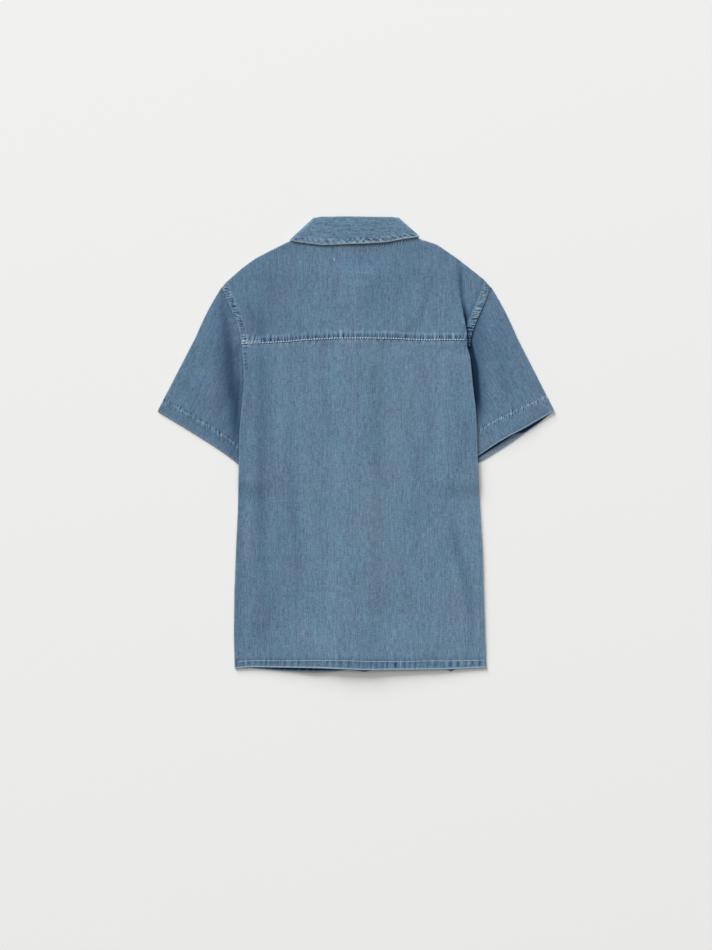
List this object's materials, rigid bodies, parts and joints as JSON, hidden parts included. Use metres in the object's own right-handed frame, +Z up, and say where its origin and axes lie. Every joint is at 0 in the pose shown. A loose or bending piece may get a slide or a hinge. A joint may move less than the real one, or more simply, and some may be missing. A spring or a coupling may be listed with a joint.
{
  "type": "denim shirt",
  "caption": "Child's short-sleeved denim shirt laid flat face down, with a folded collar, back yoke, straight hem and buttons down the hidden front.",
  "frame": {"origin": "centre of the laid-out shirt's box in plan, on the surface that it lies on", "axes": "+Z up out of the surface, towards the back of the shirt, +Y to the collar and -Y to the hem, wearer's left sleeve at -X"},
  "size_m": [0.484, 0.5556, 0.0067],
  "materials": {
    "denim": "washed mid-blue denim twill, matt, with faded seams and pale topstitching",
    "denim_collar": "the same denim on the cross grain",
    "button_shell": "off-white, softly polished"
  },
  "bodies": {
    "root": {"back": "denim", "yoke": "denim", "front_left": "denim", "front_right": "denim", "sleeve_left": "denim", "sleeve_right": "denim", "collar": "denim_collar", "button_1": "button_shell", "button_2": "button_shell", "button_3": "button_shell", "button_4": "button_shell", "button_5": "button_shell", "button_6": "button_shell"}
  },
  "joints": []
}
